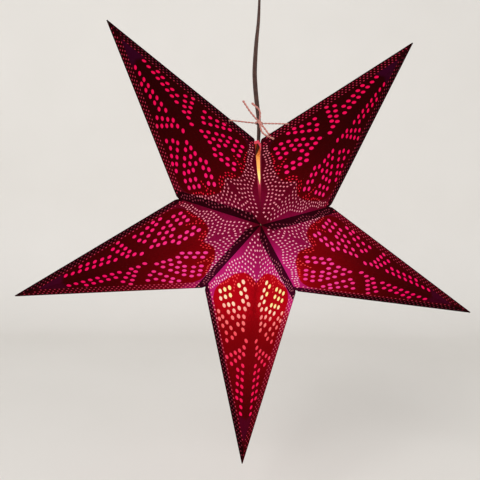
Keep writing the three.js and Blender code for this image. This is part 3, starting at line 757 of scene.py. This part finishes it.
def make_tissue(name, oval_glow):
    """Thin tissue behind the holes, lit from behind: it shows paler through the dots of the magenta
    print, red through those round it, and a painted glow makes it nearly white at the notches,
    where the paper's corners are cut away."""
    finish = paper_finish(name, 0.8, 0.02)
    u, v = finish.face_place()
    seam = seam_distance(u, v)
    edge = edge_distance(u, v)
    outside = past_border(u, v)
    strength = glow(finish)
    border = finish.mix(strength.rise(0.0, 0.5), (0.66, 0.004, 0.014, 1), (0.86, 0.06, 0.05, 1))
    by_ridge = u.below(*RIDGE_DOTS_END) * v.below(*RIDGE_DOTS_REACH)
    in_lane = abs(v - OVAL_LANE_MIDDLE).below(*OVAL_LANE_REACH)
    by_border = in_lane.most(outside.below(*RED_DOTS_REACH)) * u.below(*RED_DOTS_END)
    colour = finish.ramp(strength, oval_glow)
    colour = finish.mix(by_ridge.most(by_border), colour, border)
    in_print = outside.below(*AT_BORDER)
    colour = finish.mix(in_print, colour, finish.ramp(strength, DOT_GLOW))
    by_edge = edge.below(*EDGE_DOTS_REACH)
    colour = finish.mix(by_edge, colour, finish.ramp(strength, EDGE_GLOW))
    overhang = seam.below(*AT_SEAM)
    # Painted light: a near-white glow on the tissue at the notch corners.
    notch_glow = (seam + edge).below(*NOTCH_GLOW_REACH) * (1 - overhang)
    colour = finish.mix(notch_glow, colour, (1.0, 0.86, 0.84, 1))
    # Painted light: the glow of the tissue past the open seam, set along the ridge.
    colour = finish.mix(overhang, colour, finish.ramp(u * 10, SLIT_GLOW))
    grain = finish.noise(900, 3.0)
    fabric = finish.mix(grain, paint(96, 4, 34), paint(124, 10, 52))
    finish.base(overhang, fabric, paint(36, 4, 12))
    # Painted light: the tissue's glow, with a hot pink glow mixed in by the grain.
    finish.light(0.12 * grain, colour, (1.0, 0.01, 0.12, 1))
    return finish.material


def make_lining():
    """The inner side of the tissue, lit by the bulb: pale yellow near it and deep orange away."""
    finish = Finish("lit_lining", {"Roughness": 0.8, "Base Color": paint(150, 50, 40),
                                   "Specular IOR Level": 0.05, "Emission Strength": 1.0})
    grain = finish.noise(500, 3.0)
    near = (GLOW_REACH / bulb_distance(finish)) ** 1.5
    finish.feed("Emission Color", finish.ramp(0.7 * near + 0.05 * grain, LINING_GLOW))
    return finish.material


def make_flap_paper():
    """The second layer along the seams and the edges: paler, and lit more softly."""
    finish = paper_finish("flap_paper", 0.85, 0.04)
    grain = finish.noise(500, 3.0)
    finish.base(grain, paint(58, 8, 18), paint(98, 24, 34))
    finish.light(glow(finish), (0.13, 0.010, 0.024, 1), (0.50, 0.12, 0.17, 1))
    finish.bump(grain, 0.0002)
    return finish.material


def make_plain(name, first, second, scale, constants, relief):
    """A finish whose colour wanders between two paints, with a fine relief."""
    finish = Finish(name, constants)
    grain = finish.noise(scale, 4.0)
    finish.base(grain.rise(0.3, 0.7), first, second)
    finish.bump(grain, relief)
    return finish.material


def make_flex_skin():
    """Dark glossy skin of the flex, a little dusty, with the faint ripple of the laid cores."""
    finish = Finish("flex_skin", {"Specular IOR Level": 0.22})
    dust = finish.noise(160, 4.0)
    finish.base(dust.rise(0.35, 0.8), paint(52, 29, 22), paint(82, 52, 42))
    finish.feed("Roughness", dust * 0.25 + 0.36)
    finish.bump(finish.noise(300, 2.0), 0.00008)
    return finish.material


def make_cotton():
    """Soft twisted cotton: dusty pink with painted shade in the grooves and a fine fibre relief."""
    finish = Finish("cotton_twist", {"Roughness": 0.95, "Specular IOR Level": 0.1,
                                     "Sheen Weight": 0.35, "Sheen Roughness": 0.5})
    fibre = finish.noise(2600, 4.0, roughness=0.7)
    cloud = finish.noise(120, 2.0)
    # Painted shade: the colour darkens where the fibre relief sinks into grooves.
    colour = finish.mix(fibre.rise(0.3, 0.75), paint(158, 92, 84), paint(218, 156, 142))
    finish.base(cloud * 0.4, colour, paint(186, 104, 98))
    finish.bump(fibre, 0.00015)
    return finish.material


def make_metal(name, first, second, roughness):
    """Drawn or pressed metal: a grain run up and down in its colour, its gloss and its relief."""
    finish = Finish(name, {"Metallic": 1.0})
    grain = finish.noise(240, 4.0, stretch=(1.0, 1.0, 4.0))
    finish.base(grain, first, second)
    finish.feed("Roughness", roughness + 0.18 * grain)
    finish.bump(grain, 0.00003)
    return finish.material


def make_lit_glass():
    """Warm glowing glass, whiter towards the bulb's lower end."""
    finish = Finish("lit_glass", {"Roughness": 0.25, "Emission Strength": 1.0, "IOR": 1.45})
    low = below_bulb(finish) / BULB_RADIUS
    finish.base(low.rise(-1.0, 1.0), paint(240, 214, 170), paint(250, 240, 220))
    finish.light(low.rise(-1.0, 0.2), (1.0, 0.62, 0.26, 1), (1.0, 0.9, 0.66, 1))
    return finish.material


def make_filament():
    """Glowing wire and its glass stem, hotter in some places than in others."""
    finish = Finish("glowing_filament", {"Roughness": 0.4, "Emission Strength": 2.0})
    heat = finish.noise(800, 2.0).rise(0.3, 0.7)
    finish.base(heat, paint(230, 190, 130), paint(250, 226, 180))
    finish.light(heat, (1.0, 0.62, 0.28, 1), (1.0, 0.84, 0.52, 1))
    return finish.material


PAPER = {
    (True, False): make_paper("paper_with_glue_flap", True, False),
    (False, True): make_paper("paper_with_edge_flap", False, True),
    (False, False): make_paper("paper_at_open_seam", False, False),
}
# The bottom arm's tissue, over the bulb, takes a paler, creamier painted glow than the others at
# the same strength.
TISSUE = {
    True: make_tissue("tissue_over_bulb", CREAM_GLOW),
    False: make_tissue("tissue", PINK_GLOW),
}
LINING = make_lining()
FLAP_PAPER = make_flap_paper()
FLEX_SKIN = make_flex_skin()
COTTON = make_cotton()
BAKELITE = make_plain("black_bakelite", paint(20, 17, 15), paint(34, 29, 26), 90,
                      {"Roughness": 0.32, "Coat Weight": 0.3}, 0.00002)
IVORY = make_plain("ivory_plastic", paint(226, 220, 206), paint(236, 231, 220), 60,
                   {"Roughness": 0.38, "Coat Weight": 0.2}, 0.00003)
CERAMIC = make_plain("unglazed_ceramic", paint(214, 208, 194), paint(232, 228, 216), 300,
                     {"Roughness": 0.75}, 0.00008)
ZINC = make_metal("zinc_plate", paint(168, 170, 170), paint(196, 198, 196), 0.3)
BRASS = make_metal("pressed_brass", paint(170, 128, 62), paint(204, 166, 92), 0.26)
LIT_GLASS = make_lit_glass()
FILAMENT = make_filament()


# The flex, and the strings that tie the star shut round it

# The flex's route. Above the knot: sideways place, and share of the way up to the rose. Inside the
# star: places across and back, and share of the way down to the holder.
FLEX_TOP = GRIP_BOTTOM + STAR_DROP - SWING_GAP
FLEX_END = HOLDER_HEIGHT + FIT_GAP
UPPER_SWAY = (
    (0.0000, 0.95), (0.0000, 0.85), (-0.0005, 0.71), (-0.0023, 0.57), (-0.0033, 0.44),
    (-0.0034, 0.34), (-0.0022, 0.25), (-0.0006, 0.17), (0.0016, 0.08),
)
LOWER_SWAY = (
    (0.0033, 0.0000, 0.17), (0.0028, 0.0004, 0.28), (-0.0012, 0.0024, 0.39),
    (-0.0048, 0.0040, 0.53), (-0.0050, 0.0040, 0.67), (-0.0015, 0.0018, 0.79),
    (0.0032, 0.0000, 0.90),
)
FLEX_FLAT_HEIGHT = 0.163
FLEX_QUARTER_TURN = 0.100
FLEX_STEPS = 260
FLEX_SIDES = 28
FLEX_WAIST = 0.34


def flex_section():
    """The outline of two cores side by side: at each turn the radius is
    hypot(width / 2 * cos, waist * thickness * sin)."""
    outline = circle(FLEX_SIDES)[1]
    reach = outline * [FLEX_WIDTH / 2, FLEX_WAIST * FLEX_THICKNESS]
    return outline * np.linalg.norm(reach, axis=1, keepdims=True)


def make_flex():
    """The twin flex from the rose to the lampholder. On its way it turns slowly about itself."""
    route = [(0.0, 0.0, FLEX_TOP)]
    route += [(x, 0.0, KNOT_HEIGHT + share * (FLEX_TOP - KNOT_HEIGHT)) for x, share in UPPER_SWAY]
    route.append((HANG_OFFSET, 0.0, KNOT_HEIGHT))
    route += [(x, y, KNOT_HEIGHT - share * (KNOT_HEIGHT - FLEX_END)) for x, y, share in LOWER_SWAY]
    route.append((HANG_OFFSET, 0.0, FLEX_END))
    route = np.array(route) - [0, 0, STAR_DROP]
    path = spline(route, FLEX_STEPS)
    height = path[:, 2] + STAR_DROP
    turn = (height - FLEX_FLAT_HEIGHT) / FLEX_QUARTER_TURN * math.pi / 2
    flex = joined_tubes("hanging_flex", [sweep(path, flex_section(), (1, 0, 0), turn)], FLEX_SKIN)
    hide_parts("twin_flex")
    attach(flex, "cord")


make_flex()


# The star

def flap_corners(end, width):
    """A strip along one side of a face from the notch, with a slanted end, run on to the ridge."""
    ahead, inward = notch_axes(end)
    near = NOTCH_AT + FLAP_INSET * inward
    far = NOTCH_AT + width * inward
    near_end = near + ahead * (FLAP_RIDGE_GAP - near[1]) / ahead[1]
    far_end = far + ahead * (FLAP_RIDGE_GAP - far[1]) / ahead[1]
    near_start = near + FLAP_NOTCH_GAP * ahead
    return np.array([near_start, far + FLAP_END_CUT * ahead, far_end, near_end])


# How far the tissue stands out past the paper along the open seam, from the centre to the notch, as
# [share of the seam, overhang, 1 where it is lifted]. The two sides meet over the lower part, and
# at the back they also nearly close the rest. On each side a bare end bridges the notch. It is
# lifted off the star to leave the flex room.
BARE_END_LIFT = 0.0075
OVERHANGS = {
    "front_counter": (
        (0.400, 0.0017, 0), (0.434, 0.0018, 0), (0.520, 0.0011, 0), (0.590, 0.0014, 0),
        (0.770, 0.0018, 0), (0.888, 0.0010, 0), (0.898, 0.0018, 1), (0.900, 0.0069, 1),
        (0.937, 0.0068, 1), (0.940, 0.0016, 1), (0.948, 0.0004, 0),
    ),
    "front_clockwise": (
        (0.400, 0.0032, 0), (0.434, 0.0034, 0), (0.520, 0.0018, 0), (0.590, 0.0012, 0),
        (0.970, 0.0006, 0),
    ),
    "back_counter": (
        (0.360, 0.0021, 0), (0.600, 0.0040, 0), (0.860, 0.0046, 0), (0.900, 0.0036, 0),
        (0.920, 0.0006, 0),
    ),
    "back_clockwise": (
        (0.360, 0.0021, 0), (0.500, 0.0009, 0), (0.860, 0.0004, 0), (0.873, 0.0018, 1),
        (0.880, 0.0070, 1), (0.945, 0.0070, 1), (0.947, 0.0018, 1), (0.960, 0.0004, 0),
    ),
}


def tissue_outline(overhang, reaches_notch):
    """The face's triangle drawn in a little from its ridge, its outer edge and its seam, and the
    depth at each of its corners. At a closed notch it reaches under the cut corners. A tissue
    with an overhang starts past the seam at the star's centre."""
    ridge, edge = TISSUE_RIDGE_MARGIN, TISSUE_EDGE_MARGIN
    seam = -TISSUE_SEAM_OVERLAP if overhang else TISSUE_SEAM_MARGIN
    sin, cos = math.sin(SEAM_SLOPE), math.cos(SEAM_SLOPE)
    tilt = math.atan2(NOTCH_V, RIDGE - NOTCH_U)
    at_centre = np.array([(seam + ridge * cos) / sin, ridge])
    at_tip = np.array([RIDGE - (edge + ridge * math.cos(tilt)) / math.sin(tilt), ridge])
    seam = abs(seam)
    if reaches_notch:
        seam, edge = TISSUE_NOTCH_MARGINS
    lines = np.array([[sin, -cos], [math.sin(tilt), math.cos(tilt)]])
    at_notch = np.linalg.solve(lines, [seam, math.sin(tilt) * RIDGE - edge])
    outline = [at_centre, at_tip, at_notch]
    depths = [TISSUE_DEPTH] * 3
    for share, reach, is_lifted in reversed(overhang):
        outline.append(share * NOTCH_AT + reach * np.array([-sin, cos]))
        depths.append(TISSUE_DEPTH - BARE_END_LIFT * is_lifted)
    return np.array(outline), np.array(depths)[:, None]


def filled(outline):
    """Triangles that fill an outline, each turned to run counter-clockwise in u and v. They join
    near corners, so a lifted end doesn't pull the rest of a sheet out of its plane."""
    around = [list(range(len(outline)))]
    corners = [Vector(corner) for corner in outline]
    result = delaunay_2d_cdt(corners, [], around, 1, MERGE_DISTANCE)
    source = np.array([found[0] for found in result[3]])
    triangles = source[np.array(result[2])]
    a, b, c = (outline[triangles[:, step]] for step in range(3))
    area = (b - a)[:, 0] * (c - a)[:, 1] - (b - a)[:, 1] * (c - a)[:, 0]
    return np.where((area > 0)[:, None], triangles, triangles[:, ::-1])


LAYOUTS = {True: punched_layout(OPEN_NOTCH_CUT), False: punched_layout(NOTCH_CUT)}


def dress_face(face):
    """The paper of one face, the flaps along its sides and the tissue behind it."""
    at_open_seam = (face.number, face.is_clockwise) in ((0, False), (len(ARMS) - 1, True))
    has_glue_flap = not face.is_clockwise and not at_open_seam
    flat, triangles = LAYOUTS[at_open_seam]
    paper = face.sheet(f"{face.name}_paper", flat, triangles, 0.0, PAPER_THICKNESS,
                       [PAPER[has_glue_flap, face.is_clockwise]])
    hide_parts(f"{face.name}_panel")
    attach(paper, face.name)

    strips = []
    if has_glue_flap:
        strips.append(("glue_flap", flap_corners(np.zeros(2), GLUE_FLAP_WIDTH)))
    if face.is_clockwise:
        strips.append(("edge_flap", flap_corners(TIP_AT, EDGE_FLAP_WIDTH)))
    for flap, corners in strips:
        strip = face.sheet(f"{face.name}_{flap}", corners, filled(corners), FLAP_DEPTH,
                           FLAP_THICKNESS, [FLAP_PAPER])
        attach(strip, face.name)

    overhang = OVERHANGS[face.side] if at_open_seam else ()
    outline, depths = tissue_outline(overhang, face.is_front and not at_open_seam)
    tissue = face.sheet(f"{face.name}_lining", outline, filled(outline), depths, TISSUE_THICKNESS,
                        [TISSUE[ARMS[face.number] == "bottom"], LINING])
    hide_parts(f"{face.name}_tissue")
    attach(tissue, face.name)


for number in range(len(ARMS)):
    for is_front in (True, False):
        for is_clockwise in (True, False):
            dress_face(Face(number, is_front, is_clockwise))


# Strings
STRING_RADIUS = 0.0010
STRING_SIDES = 14
STRING_LAY = 0.0042
STRING_HOLE_ALONG = 0.037
STRING_HOLE_INSET = 0.005
STRING_BEND = 0.18
STRING_STEPS = 110
TIE_LOOP_RADIUS = 0.0041
TIE_LOOP_CLIMB = 0.0009
TIE_LOOP_TURNS = 2
TIE_LOOP_STEPS = 160
KNOT_PLACE = np.array([HANG_OFFSET, 0.0, KNOT_HEIGHT - STAR_DROP])

# Small overhand knots, as the radius of the knot's run and that of its string, which is drawn tight
END_KNOT_RADIUS = 0.0023
END_KNOT = (END_KNOT_RADIUS * 0.75, STRING_RADIUS * 0.7)
TIE_KNOT = (0.0019, STRING_RADIUS * 0.85)
TAIL_KNOT = (0.0011, STRING_RADIUS * 0.6)
KNOT_STEPS = 60
KNOT_SIDES = 8

# The four loose ends: which way each ends, and how far its middle bows out of its straight run,
# across, back and up
TAIL_LENGTH = 0.024
TAIL_RADIUS = 0.00125
TAIL_STEPS = 60
TAIL_ENDS = (
    (-0.83, -0.30, 0.98), (-0.38, -0.36, 0.88), (0.66, -0.56, -0.85), (0.45, -0.42, -0.59),
)
TAIL_BOWS = (
    (-0.0006, -0.001, -0.0012), (0.0042, -0.001, 0.0024), (-0.0042, -0.001, -0.0030),
    (-0.0002, 0.0, 0.0008),
)


def string_tube(points, reference, steps, radius=STRING_RADIUS):
    """A string of two plies along a smooth run, turning half round in each lay. Its section's
    reach is the radius * (0.80 + 0.20 * cos(2 * turn))."""
    turn, outline = circle(STRING_SIDES)
    section = radius * (0.80 + 0.20 * np.cos(2 * turn))[:, None] * outline
    path = spline(points, steps)
    walked = np.concatenate([[0], np.cumsum(np.linalg.norm(np.diff(path, axis=0), axis=1))])
    return sweep(path, section, reference, walked / STRING_LAY * math.pi), path


def overhand_knot(place, size, stretch=(1.0, 1.0, 1.0)):
    """A tube round a small overhand knot. Its run round the place is a third of the trefoil
    (sin t + 2 sin 2t, -sin 3t, cos t - 2 cos 2t), times the size and the stretch. A step more at
    each end gives the closed run's direction there, and is dropped."""
    run_radius, radius = size
    t = np.arange(-1, KNOT_STEPS + 1) / (KNOT_STEPS - 1) * 2 * math.pi
    trefoil = np.stack([np.sin(t) + 2 * np.sin(2 * t), -np.sin(3 * t),
                        np.cos(t) - 2 * np.cos(2 * t)], axis=1)
    run = trefoil * run_radius / 3 * stretch
    return sweep(place + run, radius * circle(KNOT_SIDES)[1], run, 0 * t)[1:-1]


def make_tie_string(name, number, is_clockwise, body):
    """A string from its end knot inside, through its hole and bent over to the loop's side."""
    face = Face(number, True, is_clockwise)
    ahead, inward = notch_axes(TIP_AT)
    hole = NOTCH_AT + STRING_HOLE_ALONG * ahead + STRING_HOLE_INSET * inward
    clear = PAPER_THICKNESS + STRING_RADIUS + FIT_GAP
    inner, hole_place, outer = (face.places(hole[None], depth)[0]
                                for depth in (END_KNOT_RADIUS + clear, 0, -clear))
    side = math.copysign(1.0, hole_place[0] - KNOT_PLACE[0])
    end = KNOT_PLACE + [side * (TIE_LOOP_RADIUS + STRING_RADIUS + FIT_GAP), 0, 0]
    over = outer + STRING_BEND * (end - outer) - [0, STRING_RADIUS, 0]
    rings, path = string_tube([inner, hole_place, outer, over, end], (0, 0, 1), STRING_STEPS)
    string = joined_tubes(f"{name}_and_end_knot", [rings, overhand_knot(inner, END_KNOT)], COTTON)
    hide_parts(name)
    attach(string, body)


def make_tie_knot():
    """Two turns round the flex, a knot in front of them and four loose ends with their own."""
    front = KNOT_PLACE - [0, TIE_LOOP_RADIUS + STRING_RADIUS, 0]
    turns = np.linspace(0, TIE_LOOP_TURNS, TIE_LOOP_STEPS // 2)
    turn = turns * 2 * math.pi
    loop = np.stack([TIE_LOOP_RADIUS * np.sin(turn), -TIE_LOOP_RADIUS * np.cos(turn),
                     TIE_LOOP_CLIMB * (turns - TIE_LOOP_TURNS / 2)], axis=1)
    grids = [string_tube(KNOT_PLACE + loop, (0, 0, 1), TIE_LOOP_STEPS)[0]]
    grids.append(overhand_knot(front, TIE_KNOT, (1.0, 0.6, 0.8)))
    for end, bow in zip(TAIL_ENDS, TAIL_BOWS):
        tip = KNOT_PLACE + np.array(end) * TAIL_LENGTH
        middle = (front + tip) / 2 + bow
        grids.append(string_tube([front, middle, tip], (0.3, 1, 0.1), TAIL_STEPS,
                                 TAIL_RADIUS)[0])
        grids.append(overhand_knot(tip, TAIL_KNOT))
    knot = joined_tubes("tie_knot_and_ends", grids, COTTON)
    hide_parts("tie_knot")
    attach(knot, "knot")


make_tie_string("right_tie_string", 0, False, "upper_right_front_counter")
make_tie_string("left_tie_string", 4, True, "upper_left_front_clockwise")
make_tie_knot()


# Finishes of the metal, plastic and lamp pieces, whose shapes come with the frame
NODE_FINISHES = (
    (ZINC, ("rose_bracket", "rose_nipple")),
    (BRASS, ("nipple_nut", "thread_sleeve", "bulb_screw_shell")),
    (IVORY, ("rose_cup", "cord_grip", "terminal_block")),
    (BAKELITE, ("holder_cap", "holder_body", "holder_ring")),
    (CERAMIC, ("contact_insert", "bulb_contact_tip")),
    (FLEX_SKIN, ("flex_tail",)),
    (LIT_GLASS, ("bulb_glass",)),
    (FILAMENT, ("filament_stem",)),
)

for finish, nodes in NODE_FINISHES:
    for node in nodes:
        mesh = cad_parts[node].data
        mesh.materials.clear()
        mesh.materials.append(finish)
        smooth(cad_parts[node])


# Studio

FLOOR_HEIGHT = -0.72
FLOOR_FRONT = -4.0
BACKDROP_PLACE = 1.5
BACKDROP_CURVE = 0.5
BACKDROP_TOP = 3.0
BACKDROP_HALF_WIDTH = 5.0
BACKDROP_STEPS = 24


def make_studio_paper():
    finish = Finish("studio_paper", {"Roughness": 0.9, "Specular IOR Level": 0.1})
    grain = finish.noise(3.0, 2.0)
    finish.base(grain, paint(224, 221, 216), paint(230, 227, 223))
    return finish.material


def make_backdrop():
    """One sheet: a flat floor that turns up through a quarter circle into a wall."""
    turn = np.linspace(0, math.pi / 2, BACKDROP_STEPS)
    y = np.concatenate([[FLOOR_FRONT], BACKDROP_PLACE - BACKDROP_CURVE * (1 - np.sin(turn)),
                        [BACKDROP_PLACE]])
    z = np.concatenate([[FLOOR_HEIGHT], FLOOR_HEIGHT + BACKDROP_CURVE * (1 - np.cos(turn)),
                        [BACKDROP_TOP]])
    grid = np.array([[(side * BACKDROP_HALF_WIDTH, *place) for side in (-1, 1)]
                     for place in zip(y, z)])
    faces = grid_faces(len(grid), 2, closed=False)[:, ::-1].tolist()
    backdrop = smooth(new_piece("backdrop", grid.reshape(-1, 3), faces, [make_studio_paper()]), 80)


def make_lamp(name, place, size, power):
    data = bpy.data.lights.new(name, "AREA")
    data.shape = "SQUARE"
    data.size = size
    data.energy = power
    lamp = bpy.data.objects.new(name, data)
    lamp.location = place
    aim = Vector((0, 0, -STAR_DROP)) - Vector(place)
    lamp.rotation_euler = aim.to_track_quat("-Z", "Y").to_euler()
    bpy.context.scene.collection.objects.link(lamp)


def make_world():
    world = bpy.data.worlds.new("studio")
    world.use_nodes = True
    background = world.node_tree.nodes["Background"]
    background.inputs["Color"].default_value = (1.0, 0.99, 0.98, 1.0)
    background.inputs["Strength"].default_value = 0.55
    bpy.context.scene.world = world


make_backdrop()
make_world()
make_lamp("key", (-1.6, -2.2, 1.3), size=1.6, power=60)
make_lamp("fill", (2.0, -1.6, 0.2), size=2.0, power=25)
bpy.context.scene.view_settings.view_transform = "Standard"
